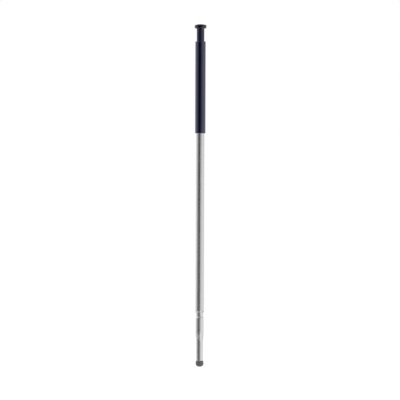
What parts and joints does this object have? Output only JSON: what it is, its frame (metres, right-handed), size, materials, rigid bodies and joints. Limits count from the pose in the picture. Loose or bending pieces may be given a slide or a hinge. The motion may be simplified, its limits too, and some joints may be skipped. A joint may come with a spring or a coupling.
{
  "type": "stylus pen",
  "caption": "Slim round touch-screen stylus with a rubber nib, a polished shaft with a catch groove, and a dark barrel with a spring-loaded push-push button.",
  "frame": {"origin": "tip of the nib, on the pen's axis", "axes": "+Z along the pen's axis from the nib to the button, +X to the right and +Y away from the viewer in the picture"},
  "size_m": [0.0038, 0.0038, 0.1102],
  "materials": {
    "nib_rubber": "matte conductive rubber",
    "polished_steel": "fine polished",
    "navy_lacquer": "gloss lacquer",
    "stem_plastic": "satin moulded plastic",
    "head_lacquer": "gloss lacquer",
    "brass": "turned",
    "spring_steel": "bright",
    "cam_plastic": "moulded acetal"
  },
  "bodies": {
    "pen": {"nib": "nib_rubber", "nib_core": "brass", "tip_sleeve": "polished_steel", "shaft_tube": "polished_steel", "barrel": "navy_lacquer", "spring_seat": "brass", "return_spring": "spring_steel", "guide_sleeve": "brass"},
    "button": {"button_head": "head_lacquer", "button_stem": "stem_plastic", "cam_shaft": "spring_steel", "slide_cam": "cam_plastic"},
    "rotor": {"rotary_cam": "cam_plastic"}
  },
  "joints": [
    {"name": "button_press", "type": "slide", "parent": "pen", "child": "button", "axis": [0, 0, -1], "range_m": [0, 0.0039], "stiffness_N_per_m": 150, "springref_m": -0.0035, "deforming": ["return_spring"]},
    {"name": "cam_turn", "type": "hinge", "parent": "button", "child": "rotor", "pos_m": [0, 0, 0.095], "axis": [0, 0, 1], "range_deg": [0, 20]}
  ],
  "couplings": [
    {"joint": "cam_turn", "follows": "button_press", "rad_per_m": 89.5}
  ]
}
